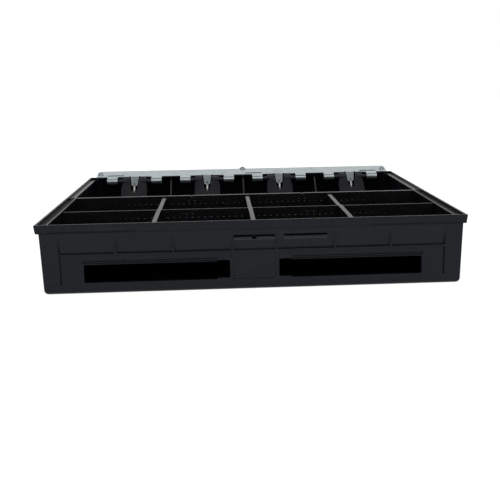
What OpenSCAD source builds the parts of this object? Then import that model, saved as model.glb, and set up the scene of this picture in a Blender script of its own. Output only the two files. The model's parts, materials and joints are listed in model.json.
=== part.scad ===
// Cash drawer insert: a moulded tray with a lift-out coin tray in front,
// four bill compartments behind it and a steel plate that carries four
// sprung bill clips. Millimetres, +Z up, front edge towards -Y,
// origin at the centre of the base.

/* [Tray] */
// Width over the rim
tray_w = 381; // [376:1:420]
// Depth over the rim
tray_d = 346; // [340:1:380]
// Height of the rim above the base
tray_h = 62.5; // [59:0.5:72]
// Wall thickness at the base
wall_t = 2; // [1.8:0.1:3]
// How far the outer faces lean in on the way down to the base
wall_lean = 1.4; // [0.4:0.1:3]
// Thickness of the floor
floor_t = 2.5; // [2:0.1:4]
// Radius along the bottom edges
base_r = 4.6; // [2:0.1:4.8]

/* [Rim] */
// How far the rim stands out at the sides and the rear
rim_out = 4; // [2.5:0.1:6]
// How far the rim stands out at the front
rim_out_front = 0.6; // [0.4:0.1:2]
// Height of the rim band
rim_h = 7.8; // [7:0.1:9]
// Thickness of the raised lip
lip_t = 2; // [1.4:0.1:2.4]
// Height of the lip above the ledge inside it
lip_h = 3.9; // [3:0.1:5]
// Height of the lip above the ledge beside the bill compartments
bill_lip = 2.5; // [2:0.1:3.5]
// Radius on the rim's outer edges
rim_r = 0.6; // [0.4:0.1:0.9]
// How far the rim's side faces lean in on the way down
rim_lean = 1.2; // [0:0.1:1.6]
// Length of the line in the front rim, one at each end
rim_line = 74; // [40:1:90]
// Distance from those lines to the ends of the front wall
rim_line_end = 6.6; // [4:0.1:12]
// Height and depth of those lines
rim_line_h = 0.8; // [0.5:0.1:1]
// Height of those lines above the rim's foot
rim_line_up = 0.7; // [0.4:0.1:2]

/* [Front wall] */
// Thickness of the front wall at the base
front_t = 3.6; // [3.2:0.1:5]
// Half width of the middle panel
panel_mid = 18.5; // [18.4:0.1:20]
// Distance from the outer panels to the ends of the front wall
panel_end = 14.7; // [13:0.1:24]
// Width of the ribs between the panels
panel_rib = 2; // [1:0.1:3]
// Sink of a panel along its lower edge
panel_sink = 1.4; // [0.6:0.1:1.6]
// Width of the deeper line along a panel's lower and outer edge
line_w = 1.3; // [0.8:0.1:1.6]
// Depth of that line
line_d = 2.2; // [1.8:0.1:2.4]
// Lower edge of the upper panels
panel_z0 = 35.7; // [35.2:0.1:38]
// Distance of the upper panels' tops below the rim
panel_drop = 1.4; // [0.6:0.1:3]
// Lower edge of the lower recess
low_z0 = 9; // [6:0.1:11]
// Upper edge of the lower recess
low_z1 = 34.2; // [33:0.1:34.6]
// Lower edge of the middle label recess
label_z = 9.7; // [7:0.1:12]
// Depth of the lower recess
low_sink = 0.8; // [0.4:0.1:1.2]
// Length of the middle slot
slot_len = 36.4; // [28:0.1:36.6]
// Length of the right slot
slot_len_right = 38; // [28:0.1:42]
// Height of the thin slots
slot_h = 1.6; // [1.2:0.1:2.4]
// Distance of the slots below the rim
slot_drop = 5.5; // [4:0.1:7]
// Height of each step of the slot's sill
sill_h = 1.2; // [0.8:0.1:1.6]
// Width of the notch in the middle slot's sill
sill_notch = 3.9; // [2:0.1:6]
// Inner end of each wide opening
open_in = 21.9; // [21:0.1:24]
// Length of the raised inner end of each wide opening
open_end = 11.1; // [8:0.1:14]
// Distance from each wide opening's outer end to the outer panel's edge
open_margin = 20.7; // [18:0.1:36]
// Lower edge of each wide opening
open_z0 = 9.9; // [9.2:0.1:12]
// Height of each wide opening
open_h = 16; // [12:0.1:16]
// Rise of the opening's inner end
open_step = 1.1; // [0.6:0.1:1.4]
// Corner radius of the wide openings
open_r = 1.6; // [0.6:0.1:3]
// Height of the bar over the opening
bar_h = 1; // [0.8:0.1:1.4]
// Height of the two grooves over that bar
groove = 1; // [0.6:0.1:1.2]
// Height of the rib between those grooves
groove_rib = 0.8; // [0.6:0.1:1.2]

/* [Coin tray] */
// Extra width of the two outer columns
outer_extra = 4.8; // [3:0.1:12]
// Clearance between the coin tray and the tray
coin_gap = 0.4; // [0.3:0.1:0.8]
// Wall of the coin tray
coin_t = 1.9; // [1.6:0.1:2.6]
// Floor of the coin tray
coin_floor_t = 2.2; // [1.8:0.1:3]
// Thickness of the flange that rests on the ledge
flange_t = 2; // [1.6:0.1:2.8]
// How far the flange lies on the ledge
flange_seat = 2.8; // [1.6:0.1:3]
// Height of the coin tray's underside
coin_z = 28.4; // [28:0.1:32]
// Depth of the coin tray inside, front to rear
coin_len = 167.6; // [160:0.1:176]
// Depth of the front row of cups
row_1 = 79.2; // [70:0.1:90]
// Radius of the scoop at the front of each cup
scoop_r = 14; // [8:0.5:18]
// Radius at the rear of each cup
heel_r = 4; // [2:0.5:6]
// Thickness of the column dividers
column_t = 4.3; // [3:0.1:6]
// Drop of the column dividers behind the row divider
column_drop = 1.2; // [0.2:0.1:2]
// Thickness of the row divider
row_t = 2; // [1.6:0.1:3]
// Clearance of the row divider in its slots
row_gap = 0.2; // [0.1:0.05:0.4]
// Height of the ridge under the row divider
ridge_h = 8; // [4:0.5:12]
// Drop of the row divider's top below the flange
row_drop = 0.8; // [0.4:0.1:2]
// Distance from the outer anti-stick ribs to the column dividers
rib_margin = 5.85; // [4:0.05:10]
// Ribs in one compartment
rib_n = 13; // [9:2:13]
// Width of a rib
rib_w = 1.3; // [0.8:0.1:2]
// How far a rib stands out
rib_out = 0.8; // [0.4:0.1:1.2]
// Depth of the ribs' tops below the flange
rib_top = 8.6; // [7:0.1:12]
// How much higher the raised pair of ribs ends
rib_rise = 3.2; // [1:0.1:5]
// Distance of the two small flange notches from the middle of their column
nick_off = 15.3; // [6:0.1:26]
// Width of the small flange notches
nick_w = 1.8; // [1.6:0.1:4]
// Depth of the small flange notches
nick_d = 0.7; // [0.5:0.1:1.4]

/* [Bill compartments] */
// Thickness of the wall between coins and bills
mid_t = 2.5; // [2:0.1:4]
// Thickness of the bill dividers
divider_t = 2; // [1.6:0.1:3]
// Height of the low part of the bill dividers
divider_low = 22; // [16:0.5:30]
// Distance from the rear wall to the top of the divider's slope
divider_post = 22.6; // [20:0.1:24]
// Slope of the divider's front edge in degrees
divider_slope = 42; // [36:1:60]

/* [Clip plate] */
// Thickness of the steel sheet
sheet_t = 1.2; // [1:0.1:1.4]
// Distance from the plate's ends to the rim's outer faces
plate_end = 12.2; // [10:0.1:18]
// Rear edge of the plate behind the hinge axis
plate_back = 26; // [25:0.1:27]
// Front edge of the plate behind the hinge axis
plate_front = 6; // [5.4:0.1:7]
// Slope of the plate in degrees
plate_tilt = 14; // [12:0.1:16]
// Cut at the plate's rear corners
plate_cut = 3; // [1:0.5:5]
// Distance from the rim's rear edge to the hinge axis
hinge_back = 36.8; // [36:0.1:39]
// Height of the hinge axis above the ledge
hinge_up = 2.5; // [2:0.1:4]
// Radius of the ear round the middle screw
ear_r = 4.4; // [4.2:0.1:5]
// Spacing of the two hinge tabs of a clip
tab_gap = 53; // [50:0.5:56]
// Width of a hinge tab
tab_w = 12.4; // [8:0.1:14]
// Width of the spring tongue at its root
tongue_w = 10; // [8:0.1:10.4]
// Width of the spring tongue at its tip
tongue_tip = 7; // [5:0.1:7.4]
// Length of the tongue from the plate's front edge
tongue_len = 14; // [13.4:0.1:14.4]
// Angle of the tongue below the plate in degrees
tongue_bend = 31; // [29:0.5:33]
// Height of the strip of tongue that the spring hooks round
tongue_web = 1.6; // [1.2:0.1:1.7]
// Diameter of the hole for the spring's hook
hook_hole = 2.4; // [2.2:0.1:2.6]
// Width of the relief cuts beside a tongue
relief_w = 1.4; // [1:0.1:2]
// Depth of the relief cuts beside a tongue
relief_d = 2.2; // [1:0.1:2.4]
// Length of the pressed slits
slit_len = 21; // [16:0.1:21.5]
// Width of the pressed slits
slit_w = 2.8; // [1.6:0.1:3]
// Distance of the slits behind the plate's front edge
slit_back = 2.6; // [2.4:0.1:3]
// Distance of the inner slit from its clip's middle
slit_in = 31; // [28:0.1:33]
// Distance of the outer slits from their clips' middles
slit_out = 23; // [20:0.1:25]
// Thickness of the moulded shelf under the plate
shelf_t = 2.5; // [2:0.1:3.4]
// Diameter of the screw bosses
boss_d = 8; // [7:0.1:9]
// Length of the screw bosses under the shelf
boss_len = 9; // [8.5:0.5:9.5]

/* [Screws] */
// Diameter of the screw shanks
screw_d = 3; // [2.5:0.1:3.6]
// Length of the screw shanks in the moulding
screw_len = 9.5; // [8:0.5:10]
// Diameter of the domed heads
head_d = 7; // [6:0.1:7.6]
// Height of the domed heads
head_h = 2.2; // [1.6:0.1:2.8]
// Clearance round a shank in its pilot hole
pilot_gap = 0.05; // [0.03:0.01:0.1]
// Clearance round a shank in the plate
hole_gap = 0.25; // [0.1:0.05:0.4]

/* [Bill clips] */
// Diameter of the clip's moulded trunnions
trunnion_d = 5; // [4.4:0.1:5.2]
// Running clearance of the trunnions in the tabs
run_gap = 0.08; // [0.03:0.01:0.1]
// Angle of the clips below level, resting on the floor
clip_rest = 45; // [42:1:48]
// Thickness of the paddle at its edges
paddle_t = 2.6; // [2.4:0.1:3.4]
// How much thicker the crowned paddle is in its middle
crown = 2; // [0.8:0.1:2.4]
// Width over the knuckles
knuckle_w = 28.4; // [24:0.2:32]
// Diameter of the knuckles
knuckle_d = 8; // [6.4:0.1:8.4]
// Width over the shoulders
shoulder_w = 31.2; // [28:0.2:34]
// Width at the tip
tip_w = 26; // [18:0.5:27]
// Diameter of the rounded foot at the tip
foot_d = 4.8; // [4:0.1:6]
// Width of the notch at the hinge
notch_w = 11.8; // [11.4:0.1:13]
// Width of the notch at its end
notch_end = 5.4; // [5:0.1:7]
// Room behind the spring's hook at the end of the notch
notch_room = 0.9; // [0.5:0.1:1.5]
// Distance from the hinge to the spring bar
bar_s = 16.5; // [16.5:0.1:18]
// Diameter of the spring bar
bar_d = 1.8; // [1.4:0.1:1.85]
// Gap between the resting foot and the floor
foot_gap = 0.3; // [0.2:0.05:0.6]

/* [Springs] */
// Wire diameter
wire_d = 0.5; // [0.4:0.05:0.5]
// Mean diameter of the curls
curl_d = 1.9; // [1.8:0.1:2.4]
// Curls in one spring
curls = 4; // [3:1:4]
// Mean radius of the end hooks
hook_r = 1.5; // [1.45:0.05:1.6]

/* [Hidden] */
$fn = 64;
eps = 0.01;
columns = 4;
tray_half = tray_w / 2;
front_y = -tray_d / 2;
rear_y = tray_d / 2;
rim_z = tray_h - rim_h;
ledge_z = tray_h - lip_h;
bill_ledge_z = tray_h - bill_lip;
outer_top = tray_half - rim_out;
outer_base = outer_top - wall_lean;
inner_half = outer_base - wall_t;
floor_half = outer_base - base_r - 1;
rim_foot = tray_half - rim_lean;
face_top = front_y + rim_out_front;
face_base = face_top + wall_lean;
front_in = face_base + front_t;
back_top = rear_y - rim_out;
back_base = back_top - wall_lean;
rear_in = back_base - wall_t;
panel_z1 = rim_z - panel_drop;
slot_top = rim_z - slot_drop;
panel_in = panel_mid + panel_rib;
panel_out = outer_base - panel_end;
panel_pitch = (panel_out - panel_in) / 3;
open_out = panel_out - open_margin;

// Coin tray
coin_half = inner_half - coin_gap;
cup_half = coin_half - coin_t;
coin_y0 = front_in + coin_gap;
cup_y0 = coin_y0 + coin_t;
cup_y1 = cup_y0 + coin_len;
coin_y1 = cup_y1 + coin_t;
row_y = cup_y0 + row_1 + row_t / 2 + row_gap;
cup_z = coin_z + coin_floor_t;
flange_z = ledge_z + flange_t;
ridge_z = cup_z + ridge_h;
rib_z = flange_z - rib_top;
pitch = (cup_half - outer_extra) / (columns / 2);
rib_pitch = (pitch - column_t - 2 * rib_margin) / (rib_n - 1);
nick_x = pitch / 2 + nick_off;
column_x = [for (i = [1:columns - 1]) (i - columns / 2) * pitch];
clip_x = [for (i = [0:columns - 1]) (i - (columns - 1) / 2) * pitch];
mid_y0 = coin_y1 + coin_gap;
mid_y1 = mid_y0 + mid_t;

// Clip plate, in its own frame: hinge axis along X through its origin
curl_in = trunnion_d / 2 + run_gap;
curl_out = curl_in + sheet_t;
hinge_y = rear_y - hinge_back;
hinge_z = ledge_z + hinge_up;
plate_half = tray_half - plate_end;
shelf_half = plate_half - 1;
shelf_y0 = plate_front + 5.5;
shelf_y1 = plate_back + 0.5;
web_t = 2.5;
web_z = ledge_z - 4;
end_screw = [plate_half - head_d / 2 - 1, (plate_front + plate_back) / 2];
screws = [[-end_screw[0], end_screw[1]], [0, plate_back + 0.5], end_screw];
slit_x = [clip_x[0] - slit_out, clip_x[2] - slit_in, clip_x[3] + slit_out];
sheet_mid = curl_in + sheet_t / 2;
tip_cut = 1.2;

// Clip, in its own frame: paddle runs towards -Y before it is turned down
foot_s = (hinge_z - floor_t - foot_gap - foot_d / 2) / sin(clip_rest);
notch_s = bar_s + hook_r + wire_d / 2 + notch_room;
notch_cut = 1.5;
crown_r = (shoulder_w * shoulder_w / 4 + crown * crown) / (2 * crown);

// Outer face of the front wall at a height
function face_y(z) = face_top + wall_lean * (rim_z - max(z, base_r)) / (rim_z - base_r);

// From the plate's own frame to Y and Z
function on_plate(y, z) = [hinge_y + y * cos(plate_tilt) - z * sin(plate_tilt),
    hinge_z + y * sin(plate_tilt) + z * cos(plate_tilt)];

// A profile in Y and Z, pushed along X
module along_x(x0, x1) {
    translate([x0, 0, 0]) rotate([90, 0, 90]) linear_extrude(height = x1 - x0) children();
}

// A profile in X and Z, pushed along Y
module along_y(y0, y1) {
    translate([0, y1, 0]) rotate([90, 0, 0]) linear_extrude(height = y1 - y0) children();
}

// What a convex corner p loses when it is rounded; a and b are its neighbours
module corner_waste(p, a, b, r) {
    u = unit(a - p);
    v = unit(b - p);
    half = acos(u * v) / 2;
    c = p + unit(u + v) * r / sin(half);
    difference() {
        polygon([p + u * r / tan(half), 2 * p - c, p + v * r / tan(half)]);
        translate(c) circle(r);
    }
}

// Polygon with a radius for each convex corner, 0 where the corner stays sharp
module round_polygon(points, radii) {
    n = len(points);
    difference() {
        polygon(points);
        for (i = [0:n - 1]) if (radii[i] > 0)
            corner_waste(points[i], points[(i + n - 1) % n], points[(i + 1) % n], radii[i]);
    }
}

module box(x0, x1, y0, y1, z0, z1) {
    translate([x0, y0, z0]) cube([x1 - x0, y1 - y0, z1 - z0]);
}

// Rectangle with round corners
module round_rect(x0, x1, y0, y1, r) {
    translate([x0 + r, y0]) square([x1 - x0 - 2 * r, y1 - y0]);
    translate([x0, y0 + r]) square([x1 - x0, y1 - y0 - 2 * r]);
    for (x = [x0 + r, x1 - r], y = [y0 + r, y1 - r]) translate([x, y]) circle(r);
}

// Front view of the tray with its rim
module tray_outline() {
    round_polygon([[-outer_base, 0], [outer_base, 0], [outer_base, base_r], [outer_top, rim_z],
        [rim_foot, rim_z], [tray_half, tray_h], [-tray_half, tray_h], [-rim_foot, rim_z],
        [-outer_top, rim_z], [-outer_base, base_r]],
        [base_r, base_r, 0, 0, rim_r, rim_r, rim_r, rim_r, 0, 0]);
}

// Side view of an end wall: its outer face leans from base to top, and its rim stands upright
module end_profile(base, top, edge, inner) {
    foot_r = min(rim_r, abs(edge - top) / 2);
    round_polygon([[inner, 0], [base, 0], [base, base_r], [top, rim_z], [edge, rim_z], [edge, tray_h],
        [inner, tray_h]], [0, min(base_r, abs(inner - base)), 0, 0, foot_r, rim_r, 0]);
}

// The pocket above the ledge, inside the lip: deeper where the coin tray's flange lies
module ledge_pocket() {
    x = tray_half - lip_t;
    box(-x, x, front_y + lip_t, mid_y1 + coin_gap, ledge_z, tray_h + 1);
    box(-x, x, front_y + lip_t, rear_y - lip_t, bill_ledge_z, tray_h + 1);
}

module tray_floor() {
    color("dimgray") box(-floor_half, floor_half, front_in, rear_in, 0, floor_t);
}

module tray_side() {
    difference() {
        along_y(front_in, rear_in) round_polygon([[floor_half, 0], [outer_base, 0], [outer_base, base_r],
            [outer_top, rim_z], [rim_foot, rim_z], [tray_half, tray_h], [inner_half, tray_h],
            [inner_half, floor_t], [floor_half, floor_t]], [0, base_r, 0, 0, rim_r, rim_r, 0, 0, 0]);
        ledge_pocket();
    }
}

module tray_side_left() {
    color("darkslategray") mirror([1, 0, 0]) tray_side();
}

module tray_side_right() {
    color("darkslategray") tray_side();
}

// Sink in the leaning face, d0 deep at its lower edge and d1 at its upper edge
module sink(x0, x1, z0, z1, d0, d1) {
    along_x(x0, x1) polygon([[face_y(z0) + d0, z0], [face_y(z1) + d1, z1],
        [front_y - 1, z1], [front_y - 1, z0]]);
}

// Panel that deepens downwards, with a deeper line along its lower edge
module panel(x0, x1) {
    sink(x0, x1, panel_z0, panel_z1, panel_sink, 0);
    sink(x0, x1, panel_z0, panel_z0 + line_w, line_d, line_d);
}

// Thin slot with a sill of two steps
module thin_slot(x, length, notch) {
    x0 = x - length / 2;
    x1 = x + length / 2;
    z0 = slot_top - slot_h;
    box(x0, x1, front_y - 1, front_in + 1, z0, slot_top);
    for (i = [1, 2]) sink(x0, x1, z0 - i * sill_h, z0 + eps, front_t / (2 * i), front_t / (2 * i));
    if (notch > 0) box(x - notch / 2, x + notch / 2, front_y - 1, front_in + 1, z0 - 2 * sill_h, z0 + eps);
}

// Wide opening on the right: a long window whose inner end sits a step higher
module wide_opening() {
    step_x = open_in + open_end;
    z1 = open_z0 + open_h;
    along_y(front_y - 1, front_in + 1) {
        round_rect(step_x, open_out, open_z0, z1, open_r);
        round_rect(open_in, step_x + 2 * open_r, open_z0 + open_step, z1, open_r);
        round_rect(open_in, step_x, open_z0 + open_step, z1 + open_step, open_r);
    }
    for (z = [z1 + bar_h, z1 + bar_h + groove + groove_rib])
        sink(step_x, open_out + 1, z, z + groove, low_sink + groove, low_sink + groove);
}

// Panels, recesses and wide opening of the front wall's right half
module front_half() {
    for (i = [0:2]) {
        x1 = panel_in + (i + 1) * panel_pitch;
        panel(x1 - panel_pitch + (i > 0 ? panel_rib : 0), x1);
        sink(x1 - line_w, x1, panel_z0, panel_z1, line_d, 0);
    }
    sink(panel_in, panel_out, low_z0, low_z1, 0, low_sink);
    sink(panel_out - line_w, panel_out, low_z0, low_z1, line_d, line_d);
    line_x = outer_base - rim_line_end;
    box(line_x - rim_line, line_x, front_y - 1, front_y + rim_line_h,
        rim_z + rim_line_up, rim_z + rim_line_up + rim_line_h);
    wide_opening();
}

module tray_front() {
    color("slategray") difference() {
        intersection() {
            along_y(front_y - 1, front_in) tray_outline();
            along_x(-tray_half, tray_half) end_profile(face_base, face_top, front_y, front_in);
        }
        ledge_pocket();
        for (s = [0, 1]) mirror([s, 0, 0]) front_half();
        panel(-panel_mid, panel_mid);
        sink(-panel_mid, panel_mid, label_z, low_z1, low_sink, low_sink);
        thin_slot(0, slot_len, sill_notch);
        thin_slot(panel_in + panel_pitch / 2, slot_len_right, 0);
    }
}

// Frame of the clip plate: hinge axis at the origin, plate sloping up to the rear
module plate_frame() {
    translate([0, hinge_y, hinge_z]) rotate([plate_tilt, 0, 0]) children();
}

// Side view of the rail: a shelf parallel to the plate and a web down to the rear wall
module rail_profile() {
    low = curl_in - shelf_t;
    polygon([on_plate(shelf_y0, curl_in), on_plate(shelf_y1, curl_in), [rear_in + web_t, ledge_z],
        [rear_in + web_t, web_z], [rear_in, web_z], on_plate(shelf_y1 - web_t, low),
        on_plate(shelf_y0, low)]);
}

module tray_rear() {
    color("slategray") {
        difference() {
            intersection() {
                along_y(rear_in, rear_y + 1) tray_outline();
                along_x(-tray_half, tray_half) end_profile(back_base, back_top, rear_y, rear_in);
            }
            ledge_pocket();
        }
        difference() {
            union() {
                along_x(-shelf_half, shelf_half) rail_profile();
                plate_frame() for (p = screws) translate([p[0], p[1], curl_in - shelf_t - boss_len])
                    cylinder(h = boss_len + shelf_t - 0.05, d = boss_d);
            }
            plate_frame() for (p = screws) translate([p[0], p[1], curl_in - screw_len - 0.5])
                cylinder(h = screw_len + 2, d = screw_d + 2 * pilot_gap);
        }
    }
}

module coin_bill_wall() {
    color("gray") box(-inner_half, inner_half, mid_y0, mid_y1, floor_t, ledge_z);
}

// Bill divider: low for the fingers, sloping up to the shelf
module bill_divider(i) {
    post_y = rear_in - divider_post;
    low = curl_in - shelf_t;
    tip = on_plate(shelf_y0, low);
    heel = on_plate(shelf_y0 + 7, low);
    x = column_x[i - 1];
    foot_y = post_y - (tip[1] - divider_low) / tan(divider_slope);
    color("gray") along_x(x - divider_t / 2, x + divider_t / 2)
        polygon([[mid_y1, floor_t], [rear_in, floor_t], [rear_in, web_z], [heel[0], web_z], heel, tip,
            [post_y, tip[1]], [foot_y, divider_low], [mid_y1, divider_low]]);
}

module bill_divider_1() {
    bill_divider(1);
}

module bill_divider_2() {
    bill_divider(2);
}

module bill_divider_3() {
    bill_divider(3);
}

// Side view of one row of cups, scooped at the front
module cup_profile(y0, y1) {
    translate([y0, cup_z + scoop_r]) square([y1 - y0, flange_z - cup_z]);
    translate([y0 + scoop_r, cup_z]) square([y1 - y0 - scoop_r - heel_r, scoop_r + eps]);
    translate([y1 - heel_r - eps, cup_z + heel_r]) square([heel_r + eps, scoop_r]);
    translate([y0 + scoop_r, cup_z + scoop_r]) circle(scoop_r);
    translate([y1 - heel_r, cup_z + heel_r]) circle(heel_r);
}

// Side view of the whole hollow of the coin tray
module coin_hollow() {
    cup_profile(cup_y0, row_y - row_t / 2 - row_gap);
    cup_profile(row_y + row_t / 2 + row_gap, cup_y1);
    translate([row_y - row_t, ridge_z]) square([2 * row_t, flange_z - ridge_z + 1]);
}

module coin_tray() {
    seat = flange_seat + coin_gap;
    color("steelblue") difference() {
        union() {
            box(-coin_half, coin_half, coin_y0, coin_y1, coin_z, flange_z);
            box(-coin_half - seat, coin_half + seat, coin_y0 - seat, mid_y1, ledge_z, flange_z);
        }
        along_x(-cup_half, cup_half) coin_hollow();
        for (s = [-1, 1]) translate([s * nick_x, 0, 0])
            box(-nick_w / 2, nick_w / 2, cup_y1 - 1, mid_y1 + 1, flange_z - nick_d, flange_z + 1);
    }
}

// Anti-stick ribs of one row of cups; the pair nearest the outside ends higher
module rib_row(y, z0) {
    first = -(rib_n - 1) / 2;
    for (c = [0:columns - 1], i = [0:rib_n - 1]) {
        k = c < columns / 2 ? i : rib_n - 1 - i;
        rise = (k == 3 || k == 4) ? rib_rise : 0;
        x = clip_x[c] + (first + i) * rib_pitch;
        box(x - rib_w / 2, x + rib_w / 2, y - rib_out, y, z0, rib_z + rise);
    }
}

module coin_rear_ribs() {
    color("gold") rib_row(cup_y1, cup_z + heel_r);
}

module coin_column(i) {
    slot_half = row_t / 2 + row_gap;
    x = column_x[i - 1];
    color("lightsteelblue") along_x(x - column_t / 2, x + column_t / 2) difference() {
        intersection() {
            coin_hollow();
            union() {
                translate([cup_y0, coin_z]) square([row_y - cup_y0, flange_z - coin_z]);
                translate([row_y, coin_z]) square([cup_y1 - row_y, flange_z - column_drop - coin_z]);
            }
        }
        translate([row_y - slot_half, ridge_z]) square([2 * slot_half, flange_z]);
    }
}

module coin_column_1() {
    coin_column(1);
}

module coin_column_2() {
    coin_column(2);
}

module coin_column_3() {
    coin_column(3);
}

// Row divider that drops into the slots of the column dividers
module coin_row_divider() {
    end = cup_half - row_gap;
    color("orange") {
        box(-end, end, row_y - row_t / 2, row_y + row_t / 2, ridge_z, flange_z - row_drop);
        rib_row(row_y - row_t / 2 + eps, ridge_z);
    }
}

// Side view of a hinge tab: the sheet runs over the trunnion and curls round it
module tab_profile() {
    translate([0, curl_in]) square([plate_front + eps, sheet_t]);
    difference() {
        circle(curl_out);
        circle(curl_in);
        square(curl_out + 1);
    }
}

// Frame of a tongue: origin at the plate's front edge in the middle of the sheet, tongue towards -Y
module tongue_frame() {
    translate([0, plate_front, sheet_mid]) rotate([tongue_bend, 0, 0]) children();
}

// Tongue that holds the spring, tapered to a tip with cut corners, with a hole for the hook
module tongue() {
    hole_s = tongue_len - tongue_web - hook_hole / 2;
    tongue_frame() translate([0, 0, -sheet_t / 2]) linear_extrude(height = sheet_t) difference() {
        polygon([[-tongue_w / 2, 0], [-tongue_tip / 2, tip_cut - tongue_len],
            [tip_cut - tongue_tip / 2, -tongue_len], [tongue_tip / 2 - tip_cut, -tongue_len],
            [tongue_tip / 2, tip_cut - tongue_len], [tongue_w / 2, 0]]);
        translate([0, -hole_s]) circle(hook_hole / 2);
    }
    translate([0, plate_front, sheet_mid]) rotate([0, 90, 0])
        cylinder(h = tongue_w, d = sheet_t, center = true);
}

// Flat view of the plate with its ear, relief cuts and slits
module plate_outline() {
    slit_y = plate_front + slit_back;
    difference() {
        union() {
            polygon([[-plate_half, plate_front], [plate_half, plate_front],
                [plate_half, plate_back - plate_cut], [plate_half - plate_cut, plate_back],
                [-plate_half + plate_cut, plate_back], [-plate_half, plate_back - plate_cut]]);
            translate(screws[1]) circle(ear_r);
        }
        for (x = clip_x, s = [-1, 1]) translate([x + s * (tongue_w + relief_w) / 2, plate_front])
            square([relief_w, 2 * relief_d], center = true);
        for (x = slit_x) round_rect(x - slit_len / 2, x + slit_len / 2, slit_y, slit_y + slit_w,
            slit_w / 2 - eps);
        for (p = screws) translate(p) circle(screw_d / 2 + hole_gap);
    }
}

module clip_plate() {
    color("silver") plate_frame() {
        translate([0, 0, curl_in]) linear_extrude(height = sheet_t) plate_outline();
        for (x = clip_x) {
            for (s = [-1, 1]) {
                tab_x = x + s * tab_gap / 2;
                along_x(tab_x - tab_w / 2, tab_x + tab_w / 2) tab_profile();
            }
            translate([x, 0, 0]) tongue();
        }
    }
}

// Domed screws that hold the plate on the shelf
module plate_screws() {
    dome_r = (head_d * head_d / 4 + head_h * head_h) / (2 * head_h);
    color("whitesmoke") plate_frame() for (p = screws) translate([p[0], p[1], curl_out]) {
        intersection() {
            cylinder(h = head_h, d = head_d);
            translate([0, 0, head_h - dome_r]) sphere(dome_r);
        }
        translate([0, 0, -sheet_t - screw_len]) cylinder(h = sheet_t + screw_len + 0.5, d = screw_d);
    }
}

// Outline of one half of the paddle, seen along its thickness
module paddle_half() {
    shoulder_s = 1.5 * knuckle_d;
    difference() {
        polygon([[0, 0], [knuckle_w / 2, 0], [knuckle_w / 2, knuckle_d / 2], [shoulder_w / 2, shoulder_s],
            [tip_w / 2, foot_s], [0, foot_s]]);
        polygon([[-1, -1], [notch_w / 2, -1], [notch_w / 2, 0], [notch_end / 2, notch_s - notch_cut],
            [notch_end / 2 - notch_cut, notch_s], [-1, notch_s]]);
    }
}

module bill_clip(i) {
    half_span = tab_gap / 2 + tab_w / 2;
    color("black") translate([clip_x[i - 1], hinge_y, hinge_z]) rotate([clip_rest, 0, 0]) {
        intersection() {
            translate([0, 0, -paddle_t / 2]) linear_extrude(height = paddle_t + crown)
                for (s = [0, 1]) mirror([s, 0]) scale([1, -1]) paddle_half();
            translate([0, 1, paddle_t / 2 + crown - crown_r]) rotate([90, 0, 0])
                cylinder(h = foot_s + 2, r = crown_r, $fn = 180);
        }
        for (s = [0, 1]) mirror([s, 0, 0]) {
            translate([notch_w / 2, 0, 0]) rotate([0, 90, 0])
                cylinder(h = (knuckle_w - notch_w) / 2, d = knuckle_d);
            translate([knuckle_w / 2 - eps, 0, 0]) rotate([0, 90, 0])
                cylinder(h = half_span - knuckle_w / 2 + eps, d = trunnion_d);
        }
        translate([0, -bar_s, 0]) rotate([0, 90, 0]) cylinder(h = notch_end + 2, d = bar_d, center = true);
        translate([0, -foot_s, 0]) rotate([0, 90, 0]) cylinder(h = tip_w, d = foot_d, center = true);
    }
}

module bill_clip_1() {
    bill_clip(1);
}

module bill_clip_2() {
    bill_clip(2);
}

module bill_clip_3() {
    bill_clip(3);
}

module bill_clip_4() {
    bill_clip(4);
}

// The extension spring runs from the web under the tongue's hole to the clip's bar.
// Its wire is drawn round the plane x = 0 of its clip, in Y and Z from the hinge axis.
web_s = tongue_len - tongue_web / 2;
web_p = on_plate(plate_front - web_s * cos(tongue_bend), sheet_mid - web_s * sin(tongue_bend))
    - [hinge_y, hinge_z];
bar_p = [-bar_s * cos(clip_rest), -bar_s * sin(clip_rest)];
spring_l = norm(bar_p - web_p);
spring_d = (bar_p - web_p) / spring_l;
spring_n = [-spring_d[1], spring_d[0]];
hook_rings = 10;
hook_turn = 280;
curl_rings = 8;
coil_rings = curls * curl_rings;
coil_l = spring_l - 2 * hook_r;

// Along the spring's axis, across it in the plane and across it along X
function spring_point(a, n, x) = concat([x], web_p + a * spring_d + n * spring_n);

// The curls open out of the axis over the first turn and close over the last
function curl_ramp(t) = min(1, t * curls, (1 - t) * curls);
function coil_point(t) = let(turn = 180 + 360 * curls * t, r = curl_d / 2 * curl_ramp(t))
    spring_point(hook_r + coil_l * t, r * cos(turn), r * sin(turn));
function hook_point(u) = let(q = hook_turn * (1 - u)) spring_point(hook_r * cos(q), hook_r * sin(q), 0);
function far_hook_point(u) = let(q = 180 - hook_turn * u)
    spring_point(spring_l + hook_r * cos(q), -hook_r * sin(q), 0);
wire_core = concat([for (i = [0:hook_rings - 1]) hook_point(i / hook_rings)],
    [for (i = [0:coil_rings]) coil_point(i / coil_rings)],
    [for (i = [1:hook_rings]) far_hook_point(i / hook_rings)]);
last = len(wire_core) - 1;

// Both ends of the wire run straight for one wire diameter
wire_path = concat([wire_core[0] + wire_d * unit(wire_core[0] - wire_core[1])], wire_core,
    [wire_core[last] + wire_d * unit(wire_core[last] - wire_core[last - 1])]);

// Tube round a path: each ring stands square to the path, six sides
function unit(v) = v / norm(v);
function heading(p, i) = unit(p[min(i + 1, len(p) - 1)] - p[max(i - 1, 0)]);
function carry(v, h) = unit(v - h * (v * h));
function sides(p, i = 0, v = [1, 0, 0]) = i == len(p) ? []
    : let(w = carry(v, heading(p, i))) concat([w], sides(p, i + 1, w));

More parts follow.
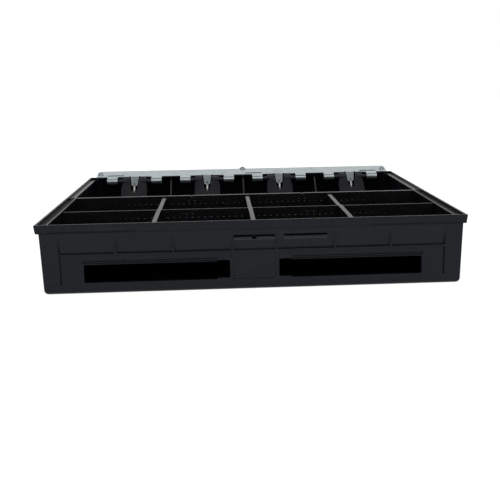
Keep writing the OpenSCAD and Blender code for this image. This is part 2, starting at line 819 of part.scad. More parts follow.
module wire_tube(path, d) {
    n = len(path);
    side = sides(path);
    points = [for (i = [0:n - 1], k = [0:5]) let(h = heading(path, i), u = side[i], v = cross(h, u))
        path[i] + d / 2 * (cos(60 * k) * u + sin(60 * k) * v)];
    skin = [for (i = [0:n - 2], k = [0:5]) let(a = 6 * i + k, b = 6 * i + (k + 1) % 6)
        each [[a, a + 6, b], [b, a + 6, b + 6]]];
    ends = [for (k = [1:4]) each [[0, k, k + 1], [6 * n - 6, 6 * n - 6 + k + 1, 6 * n - 6 + k]]];
    polyhedron(points = points, faces = concat(skin, ends));
}

// Least gap of the wire to itself, between rings more than half a curl apart
wire_gap = min([for (i = [0:len(wire_path) - 1], j = [i + 5:1:len(wire_path) - 1])
    norm(wire_path[i] - wire_path[j])]) - wire_d;
echo(str("least gap of a spring to itself: ", wire_gap, " mm"));

module clip_spring(i) {
    color("gainsboro") translate([clip_x[i - 1], hinge_y, hinge_z]) wire_tube(wire_path, wire_d);
}

module clip_spring_1() {
    clip_spring(1);
}

module clip_spring_2() {
    clip_spring(2);
}

module clip_spring_3() {
    clip_spring(3);
}

module clip_spring_4() {
    clip_spring(4);
}

tray_floor();
tray_front();
tray_side_left();
tray_side_right();
tray_rear();
coin_bill_wall();
bill_divider_1();
bill_divider_2();
bill_divider_3();
coin_tray();
coin_rear_ribs();
coin_column_1();
coin_column_2();
coin_column_3();
coin_row_divider();
clip_plate();
plate_screws();
bill_clip_1();
bill_clip_2();
bill_clip_3();
bill_clip_4();
clip_spring_1();
clip_spring_2();
clip_spring_3();
clip_spring_4();
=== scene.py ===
# %% [markdown]
# # A cash drawer insert
# A cash drawer insert is the plastic tray that lifts out of a till. A coin tray hangs in its front
# half, bills lie in four compartments behind it, and four sprung clips on a steel plate press the bills
# down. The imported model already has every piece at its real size, so this lesson gives those pieces the
# skin, the edges and the finishes of the real thing, and rebuilds only the wire springs and the screws.

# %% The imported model
import json
import math
from itertools import accumulate

import bmesh
import bpy
import numpy as np
from mathutils import Matrix, Vector


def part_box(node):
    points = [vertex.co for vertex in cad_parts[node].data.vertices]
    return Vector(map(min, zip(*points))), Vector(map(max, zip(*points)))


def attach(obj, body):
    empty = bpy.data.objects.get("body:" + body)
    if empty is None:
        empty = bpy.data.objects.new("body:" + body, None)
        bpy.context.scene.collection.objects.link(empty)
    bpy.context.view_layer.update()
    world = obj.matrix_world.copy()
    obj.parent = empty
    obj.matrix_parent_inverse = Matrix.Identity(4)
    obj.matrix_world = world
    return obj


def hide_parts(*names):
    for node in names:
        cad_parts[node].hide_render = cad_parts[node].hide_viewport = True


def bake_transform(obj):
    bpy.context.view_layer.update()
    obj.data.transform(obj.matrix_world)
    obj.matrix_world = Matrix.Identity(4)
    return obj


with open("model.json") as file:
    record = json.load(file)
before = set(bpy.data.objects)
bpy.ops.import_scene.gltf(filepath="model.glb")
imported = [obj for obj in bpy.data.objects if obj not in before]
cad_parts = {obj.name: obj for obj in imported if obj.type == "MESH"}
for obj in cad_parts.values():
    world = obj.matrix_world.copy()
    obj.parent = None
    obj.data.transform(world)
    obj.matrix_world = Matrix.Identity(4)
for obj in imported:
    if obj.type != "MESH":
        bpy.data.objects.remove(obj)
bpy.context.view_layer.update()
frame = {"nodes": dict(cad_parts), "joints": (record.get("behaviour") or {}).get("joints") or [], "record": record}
MM = 0.001

# %% [markdown]
# ## Arithmetic on sockets
# Every finish below is a small sum of noises. Such a sum, made with mouse and links, is slow to read
# back, so a socket is wrapped in a class: `1 - mask` or `0.4 + 0.1 * cloud` then adds the Math nodes by
# itself. One method, `add`, makes any other node: its type, its settings, then the values or links of
# its sockets.


# %% A socket that can be added and multiplied
class Value:
    """A node's output; arithmetic on it adds Math nodes to the same tree."""

    def __init__(self, tree, socket):
        self.tree = tree
        self.socket = socket

    def add(self, kind, settings, sockets, out=0):
        """Adds a node: its type, its settings, then the values or links of its sockets."""
        node = self.tree.nodes.new("ShaderNode" + kind)
        for name, setting in settings.items():
            setattr(node, name, setting)
        for key, value in sockets.items():
            if isinstance(value, Value):
                self.tree.links.new(value.socket, node.inputs[key])
            else:
                node.inputs[key].default_value = value
        return Value(self.tree, node.outputs[out])

    def math(self, operation, a, b):
        return self.add("Math", {"operation": operation}, {0: a, 1: b})

    def __add__(self, other):
        return self.math("ADD", self, other)

    def __radd__(self, other):
        return self.math("ADD", other, self)

    def __sub__(self, other):
        return self.math("SUBTRACT", self, other)

    def __rsub__(self, other):
        return self.math("SUBTRACT", other, self)

    def __mul__(self, other):
        return self.math("MULTIPLY", self, other)

    def __rmul__(self, other):
        return self.math("MULTIPLY", other, self)

    def noise(self, size, detail, stretch=(1, 1, 1)):
        """Noise from 0 to 1 whose grains are about size metres across, drawn out by stretch."""
        sized = [1 / (size * s) for s in stretch]
        place = self.add("VectorMath", {"operation": "MULTIPLY"}, {0: self, 1: sized})
        return place.add("TexNoise", {}, {"Vector": place, "Scale": 1.0, "Detail": detail})

    def above(self, low, high):
        """A soft step: 0 below low, 1 above high."""
        settings = {"interpolation_type": "SMOOTHSTEP"}
        return self.add("MapRange", settings, {"Value": self, "From Min": low, "From Max": high})

    def inside(self, spans, soft):
        """1 in each of some separate spans from low to high, falling to 0 over soft on either side."""
        rises = [self.above(low - soft, low) for low, high in spans]
        falls = [self.above(high, high + soft) for low, high in spans]
        return sum(rise * (1 - fall) for rise, fall in zip(rises, falls))

    def part(self, axis):
        """One coordinate of a place."""
        return self.add("SeparateXYZ", {}, {0: self}, out="XYZ".index(axis))

    def size(self):
        """This value without its sign."""
        return self.math("ABSOLUTE", self, 0)

    def mixed(self, first, second):
        """Colour between two colours, by this value. Either may be a plain colour or a Value."""
        colours = [c if isinstance(c, Value) else (*c, 1) for c in (first, second)]
        return self.add("Mix", {"data_type": "RGBA"}, {0: self, 6: colours[0], 7: colours[1]}, out=2)

    def bump(self, depth, strength=1.0):
        """Normal of a surface that rises by depth metres where this value is 1."""
        return self.add("Bump", {}, {"Height": self, "Distance": depth, "Strength": strength})


# %% [markdown]
# A material is then one Principled shader. What is the same all over a piece goes on its sockets as
# numbers, and only what varies is linked. The place of a point is read in object coordinates, because
# they keep their size on every piece and need no unwrapping.


# %% A material from a recipe
def finish(name, varying, **fixed):
    """A material: fixed values go on the shader's sockets, and varying(place) gives the linked ones."""
    material = bpy.data.materials.new(name)
    material.use_nodes = True
    tree = material.node_tree
    shader = tree.nodes["Principled BSDF"]
    for socket, value in fixed.items():
        shader.inputs[socket.replace("_", " ")].default_value = value
    place = Value(tree, tree.nodes.new("ShaderNodeTexCoord").outputs["Object"])
    for socket, value in varying(place).items():
        tree.links.new(value.socket, shader.inputs[socket])
    print("finish:", name, "with", len(tree.nodes), "nodes")
    return material


# %% [markdown]
# ## Moulded black plastic
# All the plastic pieces are injection moulded polystyrene or ABS, black all through. Their steel moulds
# are spark eroded, which leaves a grain of one to two millimetres that scatters light, so the plastic
# is dull seen straight on and grey at a low angle. An image texture could show that grain, but it would
# stretch over the long walls. Noise in object coordinates has the same size everywhere, and four sizes
# of it give a fine and a coarse grain, flow clouds and rubbed patches.

# %% Plastic as it comes out of the mould
GRAIN = 0.8 * MM
MOTTLE = 2 * MM
RUBBED = 14 * MM
RUBBED_STRETCH = (3, 1, 1)
RUBBED_FROM = (0.56, 0.74)
CLOUD = 45 * MM
# Grey of the painted highlights on edges and tops that catch light.
PAINTED_HIGHLIGHT = (0.3, 0.31, 0.32)
MATT = 0.4


def moulded(dark, pale, rough, grain_depth, painted_highlights=None, matt=None):
    """Fine and coarse grain, clouds and faint rubbed patches. Their sum picks a colour between dark and pale, and
    another sum varies the roughness round rough. Where the mask of painted highlights is 1, a painted highlight
    turns the plastic grey, and where matt is 1 it is duller."""

    def varying(place):
        grain = place.noise(GRAIN, detail=1)
        mottle = place.noise(MOTTLE, detail=2)
        cloud = place.noise(CLOUD, detail=3)
        rubbed = place.noise(RUBBED, detail=4, stretch=RUBBED_STRETCH).above(*RUBBED_FROM)
        tone = 0.5 * cloud + 0.4 * grain + 1.5 * mottle - 0.8 + 0.3 * rubbed
        colour = tone.mixed(dark, pale)
        roughness = rough * (0.6 + 0.2 * grain + 0.5 * mottle + 0.1 * cloud - 0.2 * rubbed)
        if painted_highlights:
            # Painted highlight: grey where light would catch an edge.
            colour = painted_highlights(place).mixed(colour, PAINTED_HIGHLIGHT)
        if matt:
            roughness = roughness + MATT * matt(place)
        return {
            "Base Color": colour,
            "Roughness": roughness,
            "Normal": (grain + mottle).bump(grain_depth),
        }

    return varying


print("plastic patterns in mm:", [round(size / MM, 1) for size in (GRAIN, MOTTLE, RUBBED, CLOUD)])

# %% [markdown]
# The two steps under each thin slot of the front wall and the sloping edges of the low dividers catch light, and
# on the tray that light is a painted highlight, a grey in the plastic's colour. A painted mask could mark these
# places. Bands of coordinates do it without one: each is 1 inside and falls off softly.

# %% Plastic of the tray
SLOTS_X = ((-18 * MM, 18 * MM), (26.7 * MM, 64.3 * MM))
STEPS_Z = ((45 * MM, 45.3 * MM), (46.2 * MM, 46.5 * MM))
FRONT_Y = (-169.5 * MM, -169 * MM)
DIVIDERS_X = ((-0.8 * MM, 0.8 * MM), (87.2 * MM, 88.8 * MM))
SLOPES_Y = ((10 * MM, 164 * MM),)
SLOPES_Z = ((23 * MM, 60 * MM),)
# Strengths of the painted highlights on the slot steps and on the divider slopes.
STEP_HIGHLIGHT = 0.16
SLOPE_HIGHLIGHT = 0.12


def tray_painted_highlights(place):
    """Painted highlights on the edges of the steps under the thin slots in the front wall, and on the sloping
    edges of the bill dividers."""
    x, y, z = (place.part(axis) for axis in "XYZ")
    steps = x.inside(SLOTS_X, soft=0.3 * MM) * z.inside(STEPS_Z, soft=0.2 * MM)
    slopes = y.inside(SLOPES_Y, soft=1 * MM) * z.inside(SLOPES_Z, soft=1 * MM)
    dividers = x.size().inside(DIVIDERS_X, soft=0.1 * MM)
    return STEP_HIGHLIGHT * steps * (1 - y.above(*FRONT_Y)) + SLOPE_HIGHLIGHT * dividers * slopes


tray_plastic = finish(
    "tray_plastic",
    moulded(
        dark=(0.0042, 0.0052, 0.0072),
        pale=(0.0115, 0.0138, 0.0185),
        rough=0.3,
        grain_depth=0.03 * MM,
        # Painted highlights on the slot steps and the divider slopes.
        painted_highlights=tray_painted_highlights,
    ),
    Specular_IOR_Level=0.17,
    Specular_Tint=(0.86, 0.93, 1, 1),
)

# %% [markdown]
# The coin tray comes from another mould with a shallower grain. It is smoother, so at a low angle its tops mirror
# what is behind them, while its walls stay black. The tops of the small ribs in the cups catch light from above,
# and this is painted on them as a highlight, strongest in the middle cups. The flange is polished by fingers only
# along its inner edge.

# %% Plastic of the coin tray and its row divider
RIB_ROWS_Y = ((-86.6 * MM, -85.85 * MM), (1.6 * MM, 2.35 * MM))
RIB_TOPS_Z = ((51.88 * MM, 52.1 * MM), (55.08 * MM, 55.3 * MM))
RIB_FADE_X = (100 * MM, 140 * MM)
# Strength of the painted highlight on the rib tops.
RIB_HIGHLIGHT = 0.8
FLANGE_MATT_X = (181 * MM, 184 * MM)


def rib_painted_highlights(place):
    """Painted highlight on the tops of the ribs on the rear wall of the coin tray and on the row divider, less so
    towards the sides."""
    x, y, z = (place.part(axis) for axis in "XYZ")
    tops = y.inside(RIB_ROWS_Y, soft=0.05 * MM) * z.inside(RIB_TOPS_Z, soft=0.04 * MM)
    return RIB_HIGHLIGHT * tops * (1 - x.size().above(*RIB_FADE_X))


def flange_matt(place):
    """Outer part of the coin tray's flange."""
    return place.part("X").size().above(*FLANGE_MATT_X)


coin_plastic = finish(
    "coin_plastic",
    moulded(
        dark=(0.004, 0.0039, 0.0046),
        pale=(0.0135, 0.0133, 0.0148),
        rough=0.22,
        grain_depth=0.015 * MM,
        # Painted highlight on the rib tops.
        painted_highlights=rib_painted_highlights,
        matt=flange_matt,
    ),
    Specular_IOR_Level=0.03,
    Specular_Tint=(0.94, 0.97, 1, 1),
)

# %% [markdown]
# The clips are handled all day. Their plastic is a little paler than the trays' and has a dull sheen. A
# new recipe isn't needed: the same one with other colours and more roughness keeps the clips in one
# family with the trays.

# %% Plastic of the clips
clip_plastic = finish(
    "clip_plastic",
    moulded(
        dark=(0.0075, 0.0076, 0.0105),
        pale=(0.019, 0.0188, 0.025),
        rough=0.44,
        grain_depth=0.03 * MM,
    ),
    Specular_IOR_Level=0.45,
    Specular_Tint=(0.9, 0.94, 1, 1),
)

# %% [markdown]
# ## Zinc plated steel
# The plate is pressed from sheet steel and zinc plated. The sheet was rolled along its length, so faint
# lines run that way under the plating, which is slightly blue and clouds where it was handled. The
# lines are a noise drawn out forty times along X. They change the roughness and, very slightly, the
# normal. Screws and springs weren't rolled, so their noise is even.

# %% Finishes of the steel pieces
LINES = 0.35 * MM
LINE_DEPTH = 0.004 * MM
HANDLED = 7 * MM
HANDLED_FROM = (0.54, 0.72)
CRYSTALS = 16 * MM
ROLLED = (40, 1, 1)
EVEN = (1, 1, 1)


def plated(dark, pale, rough, stretch):
    """Fine lines along the rolling direction, crystal clouds and dull handling marks. One sum of them
    picks a colour between dark and pale, and another raises the roughness above rough."""

    def varying(place):
        lines = place.noise(LINES, detail=2, stretch=stretch)
        cloud = place.noise(CRYSTALS, detail=3)
        dull = place.noise(HANDLED, detail=3).above(*HANDLED_FROM)
        return {
            "Base Color": (0.6 * cloud + 0.4 * lines - 0.2 * dull).mixed(dark, pale),
            "Roughness": rough + 0.12 * lines + 0.12 * dull,
            "Normal": lines.bump(LINE_DEPTH, strength=0.5),
        }

    return varying


plate_steel = finish(
    "plate_steel",
    plated(dark=(0.53, 0.59, 0.605), pale=(0.64, 0.705, 0.725), rough=0.38, stretch=ROLLED),
    Metallic=1.0,
)
screw_steel = finish(
    "screw_steel",
    plated(dark=(0.42, 0.45, 0.48), pale=(0.62, 0.65, 0.68), rough=0.22, stretch=EVEN),
    Metallic=1.0,
)
spring_steel = finish(
    "spring_steel",
    plated(dark=(0.9, 0.9, 0.86), pale=(0.98, 0.98, 0.95), rough=0.4, stretch=EVEN),
    Metallic=0.4,
)

# %% [markdown]
# ## One skin for each moulding
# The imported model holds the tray's walls as separate nodes, which suits collision. The real tray is one
# moulding. So copies of the nodes are merged, since their triangles are loose, and joined by a Boolean
# union into one closed skin. Rounding each wall by itself would have drawn a seam where two walls meet.

# %% From loose triangles to one skin
WELD = 0.002 * MM


def linked(name, data):
    """Object with this data, in the scene."""
    thing = bpy.data.objects.new(name, data)
    bpy.context.scene.collection.objects.link(thing)
    return thing


def merged_copy(name, node):
    """Object with a copy of a node's mesh, its loose triangles joined."""
    shape = bmesh.new()
    shape.from_mesh(frame["nodes"][node].data)
    bmesh.ops.remove_doubles(shape, verts=shape.verts, dist=WELD)
    mesh = bpy.data.meshes.new(name)
    shape.to_mesh(mesh)
    shape.free()
    mesh.materials.clear()
    return linked(name, mesh)


def joined(piece, others):
    """Adds the other objects to the piece by a Boolean union and removes them."""
    group = bpy.data.collections.new(piece.name + "_walls")
    for other in others:
        group.objects.link(other)
    union = piece.modifiers.new("union", "BOOLEAN")
    union.operation = "UNION"
    union.operand_type = "COLLECTION"
    union.collection = group
    union.solver = "EXACT"
    graph = bpy.context.evaluated_depsgraph_get()
    skin = bpy.data.meshes.new_from_object(piece.evaluated_get(graph))
    piece.modifiers.clear()
    piece.data = skin
    for other in others:
        bpy.data.objects.remove(other)
    bpy.data.collections.remove(group)


print("copies are merged within", round(WELD / MM, 4), "mm")

# %% [markdown]
# A moulded corner has a small radius, and a Bevel modifier can give it one if the mesh is clean. So
# flat neighbours are dissolved into one face, and only edges that point outwards are marked for the
# bevel, because in an inner corner the strips of two bevels would cross. Weighted normals then keep the
# flats flat up to their rounded edges.

# %% From a skin to rounded edges
CLOSE = 0.2 * MM
BROAD = 4 * MM
FLAT = math.radians(0.3)
SLIGHT = math.radians(1)
EDGE_ANGLE = math.radians(28)


def breadth(face):
    """About the shorter side of a face: twice its area over its perimeter."""
    return 2 * face.calc_area() / face.calc_perimeter()


def cleaned(piece, weld):
    """Makes flat neighbours one face, marks the outward edges, keeps the line between two broad flats
    sharp and cuts the faces into convex ones. Returns how many edges are open."""
    shape = bmesh.new()
    shape.from_mesh(piece.data)
    bmesh.ops.remove_doubles(shape, verts=shape.verts, dist=weld)
    bmesh.ops.dissolve_limit(shape, angle_limit=FLAT, verts=shape.verts, edges=shape.edges)
    outward = shape.edges.layers.float.new("bevel_weight_edge")
    for edge in shape.edges:
        angle = edge.calc_face_angle(0)
        edge[outward] = edge.is_convex and angle > EDGE_ANGLE
        broad = min(breadth(face) for face in edge.link_faces) > BROAD
        edge.smooth = angle < (SLIGHT if broad else EDGE_ANGLE)
    bmesh.ops.connect_verts_concave(shape, faces=shape.faces)
    open_edges = sum(not edge.is_manifold for edge in shape.edges)
    for face in shape.faces:
        face.smooth = True
    shape.to_mesh(piece.data)
    shape.free()
    return open_edges


def rounded(piece, radius):
    """Rounds the marked edges, unless the radius is 0, and evens the shading."""
    if radius:
        bevel = piece.modifiers.new("small radii", "BEVEL")
        bevel.width = radius
        bevel.segments = 2
        bevel.limit_method = "WEIGHT"
        bevel.use_clamp_overlap = False
        bevel.mark_sharp = False
    even = piece.modifiers.new("even shading", "WEIGHTED_NORMAL")
    even.weight = 100
    even.keep_sharp = True


def moulding(name, nodes, body, material, radius):
    """One piece that stands for some nodes of one body. With radius 0 its edges stay crisp."""
    first, *others = [merged_copy(name if n == nodes[0] else n + "_wall", n) for n in nodes]
    if others:
        joined(first, others)
    open_edges = cleaned(first, CLOSE if radius else WELD)
    rounded(first, radius)
    first.data.materials.clear()
    first.data.materials.append(material)
    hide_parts(*nodes)
    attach(first, body)
    faces = len(first.data.polygons)
    print(name, "from", len(nodes), "nodes:", faces, "faces,", open_edges, "open edges")


print("edges over", round(math.degrees(EDGE_ANGLE)), "degrees are rounded")

# %% [markdown]
# ## The tray, the coin tray and the row divider
# All three are moulded, with radii of about a third of a millimetre where no larger one is drawn. The
# coin tray and its column dividers come out of the mould together, and the row divider is a loose strip
# that drops into slots.

# %% Moulded pieces
bodies = frame["record"]["behaviour"]["bodies"]
STEEL_NODES = ("clip_plate", "plate_screws")
TRAY_RADIUS = 0.35 * MM
COIN_RADIUS = 0.3 * MM
STRIP_RADIUS = 0.25 * MM
tray_nodes = [n for n in bodies["tray"] if n not in STEEL_NODES and not n.startswith("clip_spring")]
moulding("tray_moulding", tray_nodes, "tray", tray_plastic, TRAY_RADIUS)
moulding("coin_moulding", bodies["coin_insert"], "coin_insert", coin_plastic, COIN_RADIUS)
moulding("row_strip", bodies["row_divider"], "row_divider", coin_plastic, STRIP_RADIUS)

# %% [markdown]
# ## The plate and the clips
# Sheet steel is sheared and then folded, so its edges stay crisp and only the folds are round. The
# clips are moulded and handled all day, so their outward edges get a larger radius than the trays'
# have.

# %% Pressed plate and moulded clips
CLIPS = range(1, 5)
CLIP_RADIUS = 0.4 * MM
moulding("steel_plate", ["clip_plate"], "tray", plate_steel, 0)
for i in CLIPS:
    nodes = [f"bill_clip_{i}"]
    moulding(f"clip_paddle_{i}", nodes, f"clip_{i}", clip_plastic, CLIP_RADIUS)

# %% [markdown]
# ## Wire springs
# A small extension spring pulls each clip down. It is a single hard drawn wire: a hook, a close coil
# and another hook. A curve with a bevel would do, but here the centre line is a formula and a ring is
# carried along it, so the hooks land exactly on the tongue's web and on the clip's bar.

# %% Line of the wire
PLATE_TILT = math.radians(14)
CLIP_REST = math.radians(45)
WEB = Vector((0, -5.31 * MM, -3.62 * MM))
BAR_REACH = 16.5 * MM
COIL = 1.9 * MM
CURLS = 15
CURL_STEPS = 32
HOOK = 1.5 * MM
HOOK_TURN = math.radians(280)
HOOK_STEPS = 40


def spring_line():
    """Centre line from web to bar, with x along the hinge: hook arcs of 280 degrees, and between them a
    helix whose radius opens over its first turn and closes over its last. Returns points from the hinge
    axis."""
    web = np.array(Matrix.Rotation(PLATE_TILT, 3, "X") @ WEB)
    bar = BAR_REACH * np.array([0, -math.cos(CLIP_REST), -math.sin(CLIP_REST)])
    length = np.linalg.norm(bar - web)
    along = (bar - web) / length
    across = np.array([0, -along[2], along[1]])
    start = np.linspace(HOOK_TURN, 0, HOOK_STEPS, endpoint=False)
    t = np.linspace(0, 1, CURL_STEPS * CURLS + 1)
    radius = COIL / 2 * np.minimum(1, np.minimum(t, 1 - t) * CURLS)
    turn = math.pi + 2 * math.pi * CURLS * t
    end = math.pi - np.linspace(0, HOOK_TURN, HOOK_STEPS + 1)[1:]
    coil = HOOK + (length - 2 * HOOK) * t
    a = np.concatenate([HOOK * np.cos(start), coil, length + HOOK * np.cos(end)])
    n = np.concatenate([HOOK * np.sin(start), radius * np.cos(turn), -HOOK * np.sin(end)])
    x = np.concatenate([0 * start, radius * np.sin(turn), 0 * end])
    return web + a[:, None] * along + n[:, None] * across + x[:, None] * np.array([1, 0, 0])


line = spring_line()
print("wire of a spring:", round(np.linalg.norm(np.diff(line, axis=0), axis=1).sum() / MM), "mm long")

# %% [markdown]
# A tube needs a ring at each point of the line, square to it. If every ring were turned by itself, the
# tube would twist where the line bends, so the ring's first direction is carried from point to point.

# %% Tube round the line
WIRE = 0.5 * MM
WIRE_SIDES = 12


def unit(v):
    """Vectors of the same directions with length 1."""
    return v / np.linalg.norm(v, axis=-1, keepdims=True)


def carried(heading):
    """Directions square to the line: each is the one before it, less its share along the new
    heading."""

    def step(before, ahead):
        return unit(before - ahead * (before @ ahead))

    return np.array(list(accumulate(heading, step, initial=np.array([1.0, 0, 0]))))[1:]


def ring_quads(rings, sides):
    """Quads between neighbouring rings, numbered ring by ring: a point, the next one on its ring, and
    the same two on the next ring, backwards."""
    first = np.arange(rings - 1)[:, None] * sides
    here = first + np.arange(sides)
    there = first + (np.arange(sides) + 1) % sides
    return np.stack([here, there, there + sides, here + sides], axis=-1).reshape(-1, 4)


def tube(line, radius, sides):
    """Grid of a round tube: at each point of the line a ring of radius r, r (u cos k + v sin k), where
    u is the carried direction and v = heading x u. Returns points, and quads with two end caps."""
    heading = unit(np.gradient(line, axis=0))
    u = carried(heading)
    v = np.cross(heading, u)
    k = np.linspace(0, 2 * math.pi, sides, endpoint=False)
    ring = np.cos(k)[None, :, None] * u[:, None] + np.sin(k)[None, :, None] * v[:, None]
    points = (line[:, None] + radius * ring).reshape(-1, 3)
    first_cap = np.arange(sides)[::-1]
    last_cap = np.arange(sides) + sides * (len(line) - 1)
    return points, [*ring_quads(len(line), sides).tolist(), first_cap.tolist(), last_cap.tolist()]


points, faces = tube(line, WIRE / 2, WIRE_SIDES)
print("tube:", len(points), "points,", len(faces), "faces")

# %% [markdown]
# The spring hangs between the fixed plate and a clip that turns. Each one is set at its clip's hinge in the shape
# it has with the clip at rest, and stays so.

# %% Springs
hinges = {j["child"]: Vector(j["pos_m"]) for j in frame["joints"] if j["type"] == "hinge"}


def surface(name, points, faces, material):
    """Smooth object made of these points and faces."""
    mesh = bpy.data.meshes.new(name)
    mesh.from_pydata(points.tolist(), [], faces)
    mesh.materials.append(material)
    mesh.shade_smooth()
    return linked(name, mesh)


for i in CLIPS:
    hinge = np.array(hinges[f"clip_{i}"])
    spring = surface(f"wire_spring_{i}", points + hinge, faces, spring_steel)
    line[0] + hinge
    line[-1] + hinge
    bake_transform(spring)
    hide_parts(f"clip_spring_{i}")
print("springs:", len(CLIPS))

# %% [markdown]
# ## Screws
# Three pan head screws hold the plate on its rail. The head is a dome with a cross recess. The whole
# screw is one turned profile, and the recess and the thread are worked into it as functions of the
# angle: the recess lowers the dome along two crossing bands, and the thread is a ripple that climbs as
# it turns. Cutting the recess by a Boolean would work too, but would leave long thin faces on the dome.

# %% Screw as a turned profile
HEAD_D = 7 * MM
HEAD_H = 2.2 * MM
HEAD_RINGS = 40
FIRST_RING = 0.02
SHANK_D = 3 * MM
SHANK_L = 10.7 * MM
SHANK_RINGS = 120
THREAD_PITCH = 1.1 * MM
THREAD_DEPTH = 0.3 * MM
THREAD_RUN_IN = (-1.2 * MM, -2 * MM)
TIP_L = 2 * MM
TIP_TAPER = 0.75
RECESS_W = 0.9 * MM
RECESS_L = 3.6 * MM
RECESS_DEPTH = 1.2 * MM
RECESS_SLOPE = 0.2 * MM
SIDES = 96


def soft_step(low, high, value):
    """0 at low and 1 at high, 3 t^2 - 2 t^3 between them."""
    t = np.clip((value - low) / (high - low), 0, 1)
    return t * t * (3 - 2 * t)


def recess_arm(side, along):
    """1 in one arm of the cross and 0 outside it, by the distances across and along the arm from its
    middle."""
    narrow = soft_step(RECESS_W / 2 + RECESS_SLOPE, RECESS_W / 2, side)
    return narrow * soft_step(RECESS_L / 2, RECESS_L / 4, along)


def screw_grid():
    """Rings from the top of the dome to the tip: head rings follow a ball cap less the cross recess,
    shank rings have radius r less a ripple of the angle plus height over pitch. Returns x, y, z as rows
    of rings."""
    angle = np.linspace(0, 2 * math.pi, SIDES, endpoint=False)[None]
    ball = (HEAD_D**2 / 4 + HEAD_H**2) / (2 * HEAD_H)
    r = np.linspace(FIRST_RING, 1, HEAD_RINGS)[:, None] * HEAD_D / 2
    dome = np.sqrt(ball**2 - r**2) - ball + HEAD_H
    from_x = np.abs(r * np.cos(angle))
    from_y = np.abs(r * np.sin(angle))
    recess = np.maximum(recess_arm(from_x, from_y), recess_arm(from_y, from_x))
    head_z = dome - RECESS_DEPTH * recess
    head_r = np.repeat(r, SIDES, axis=1)
    shank_z = np.linspace(0, -SHANK_L, SHANK_RINGS)[:, None] + 0 * angle
    ripple = 0.5 + 0.5 * np.cos(angle + 2 * math.pi * shank_z / THREAD_PITCH)
    taper = 1 - TIP_TAPER * soft_step(-SHANK_L + TIP_L, -SHANK_L, shank_z)
    shank_r = (SHANK_D / 2 - THREAD_DEPTH * ripple * soft_step(*THREAD_RUN_IN, shank_z)) * taper
    radius = np.concatenate([head_r, shank_r])
    return radius * np.cos(angle), radius * np.sin(angle), np.concatenate([head_z, shank_z])


def turned(x, y, z):
    """Closed turned grid: quads between the rings, and a fan of triangles to a pole at either end, at
    the mean height of that ring. Returns points, quads and triangles."""
    rings, sides = z.shape
    points = np.stack([x, y, z], axis=-1).reshape(-1, 3)
    poles = np.array([[0, 0, z[0].mean()], [0, 0, z[-1].mean()]])
    outward_order = [0, 3, 2, 1]
    quads = ring_quads(rings, sides)[:, outward_order]
    k = np.arange(sides)
    after = (k + 1) % sides
    last = (rings - 1) * sides
    top = np.stack([k, after, 0 * k + rings * sides], axis=-1)
    foot = np.stack([last + after, last + k, 0 * k + rings * sides + 1], axis=-1)
    return np.concatenate([points, poles]), quads, np.concatenate([top, foot])


screw_points, screw_quads, screw_fans = turned(*screw_grid())
print("screw:", len(screw_points), "points,", len(screw_quads) + len(screw_fans), "faces")

# %% [markdown]
# Two screws sit at the ends of the plate and one in its middle, farther back. They stand square to the
# plate, which slopes forward, so each is turned by the plate's tilt about the line of the hinges.

# %% Screws on the plate
SEAT = 3.78 * MM
END_SCREW_Y = 16 * MM
MIDDLE_SCREW_Y = 26.5 * MM
end_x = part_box("plate_screws")[1].x - HEAD_D / 2
hinge_line = hinges["clip_1"]
plate_turn = np.array(Matrix.Rotation(PLATE_TILT, 3, "X"))
all_points = []
all_faces = []
for count, (x, y) in enumerate(((-end_x, END_SCREW_Y), (0, MIDDLE_SCREW_Y), (end_x, END_SCREW_Y))):
    all_points.append((screw_points + [0, y, SEAT]) @ plate_turn.T + [x, hinge_line.y, hinge_line.z])
    start = count * len(screw_points)
    all_faces += (screw_quads + start).tolist() + (screw_fans + start).tolist()
screws = surface("cross_screws", np.concatenate(all_points), all_faces, screw_steel)
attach(screws, "tray")
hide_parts("plate_screws")
print("screws:", len(all_faces), "faces")

# %% [markdown]
# ## Floor and light
# The insert stands on a white table in front of a white wall. The wall is what the level tops mirror at
# a low angle, so they turn grey. Glossy surfaces that face the front or the ceiling mirror a dim room,
# so the tongues and the curled tabs of the plate darken downwards. All this could be modelled as a
# room, but a world that answers each kind of ray is simpler: the camera itself sees plain white behind
# the object, mirrors see wall and room, and dull surfaces get the even light of a sky.

# %% World
WALL = 1.0
ROOM = 0.12
SKY = 0.5
WALL_BEHIND = (-0.1, 0.7)
WALL_TOP = (0.65, 0.96)


def rays(tree, *kinds):
    """1 for rays of the named kinds and 0 for others."""
    path = tree.nodes.new("ShaderNodeLightPath")
    first, *others = [Value(tree, path.outputs[f"Is {kind} Ray"]) for kind in kinds]
    for other in others:
        first = first.math("MAXIMUM", first, other)
    return first


world = bpy.data.worlds.new("sky")
bpy.context.scene.world = world
world.use_nodes = True
sky = world.node_tree
direction = Value(sky, sky.nodes.new("ShaderNodeTexCoord").outputs["Generated"])
wall = direction.part("Y").above(*WALL_BEHIND) * (1 - direction.part("Z").above(*WALL_TOP))
mirrored = ROOM + (WALL - ROOM) * wall
camera_ray = rays(sky, "Camera")
glossy_ray = rays(sky, "Glossy", "Transmission")
strength = camera_ray + (1 - camera_ray) * (glossy_ray * mirrored + (1 - glossy_ray) * SKY)
sky.nodes["Background"].inputs["Color"].default_value = (1, 1, 1, 1)
sky.links.new(strength.socket, sky.nodes["Background"].inputs["Strength"])
print("world: wall", WALL, "room", ROOM, "sky", SKY)

# %% [markdown]
# The table is a large square. A dull white sheet under soft light would come out grey, so a little of
# its own light is added for the camera and for mirrors. It is too little to hide the shadow of the
# insert.

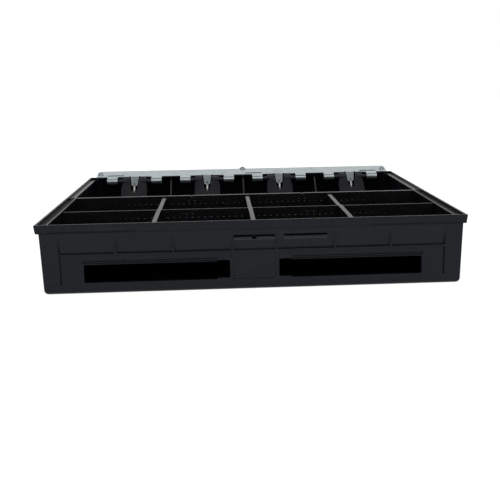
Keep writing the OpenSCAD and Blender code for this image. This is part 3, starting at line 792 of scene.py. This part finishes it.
# %% Floor
FLOOR_SIZE = 8.0
FLOOR_FILL = 0.68
PAPER = (0.8, 0.8, 0.8, 1)
white_table = bpy.data.materials.new("white_table")
white_table.use_nodes = True
table = white_table.node_tree
fill = FLOOR_FILL * rays(table, "Camera", "Glossy", "Transmission")
dull_sheet = fill.add("BsdfDiffuse", {}, {"Color": PAPER})
own_light = fill.add("Emission", {}, {"Strength": fill})
both = fill.add("AddShader", {}, {0: dull_sheet, 1: own_light})
table.links.new(both.socket, table.nodes["Material Output"].inputs["Surface"])
half = FLOOR_SIZE / 2
corners = np.array([(-half, -half, 0), (half, -half, 0), (half, half, 0), (-half, half, 0)])
floor = surface("floor", corners, [(0, 1, 2, 3)], white_table)
print("floor:", FLOOR_SIZE, "m wide")

# %% [markdown]
# One large soft lamp above the camera reaches into the cups. An area lamp shines along its own negative
# Z, so its Z axis is turned to point away from the middle of the tray.

# %% Lamp
LAMP_W = 1.6
LAMP_D = 1.0
LAMP_POWER = 8
LAMP_PLACE = Vector((0.1, -1.1, 1.3))
lamp_data = bpy.data.lights.new("softbox", "AREA")
lamp_data.shape = "RECTANGLE"
lamp_data.size = LAMP_W
lamp_data.size_y = LAMP_D
lamp_data.energy = LAMP_POWER
lamp = linked("softbox", lamp_data)
lamp.location = LAMP_PLACE
lamp.rotation_euler = LAMP_PLACE.to_track_quat("Z", "Y").to_euler()
bpy.context.scene.view_settings.view_transform = "Standard"
print("lamp:", LAMP_POWER, "W at", round(LAMP_PLACE.length, 2), "m")

# %% [markdown]
# The camera stands about 0.9 m in front of the tray's middle, a little to the left, and looks down by
# twelve degrees. Its place and its focal length were fitted to the tray's corners as they lie in a
# picture of 500 by 500 pixels. That picture was cropped a little off its middle, which is what the
# small sideways shift of the lens stands for.

# %% Camera
PICTURE = 500
FOCAL_PIXELS = 860
CENTRE_SHIFT = 25
SENSOR = 36
EYE = Vector((-29.1, -913.8, 189.2)) * MM
PITCH = math.radians(-11.72)
YAW = math.radians(-3.64)
ROLL = math.radians(0.875)
view = bpy.data.cameras.new("camera")
view.sensor_width = SENSOR
view.lens = SENSOR * FOCAL_PIXELS / PICTURE
view.shift_x = -CENTRE_SHIFT / PICTURE
camera = linked("camera", view)
turn = Matrix.Rotation(YAW, 4, "Z") @ Matrix.Rotation(PITCH, 4, "X") @ Matrix.Rotation(ROLL, 4, "Y")
camera.matrix_world = Matrix.Translation(EYE) @ turn @ Matrix.Rotation(math.pi / 2, 4, "X")
bpy.context.scene.camera = camera
print("lens:", round(view.lens, 1), "mm")

# %% [markdown]
# ## Size
# The dressed part has to keep the size of the imported model.

# %% End
bpy.context.view_layer.update()
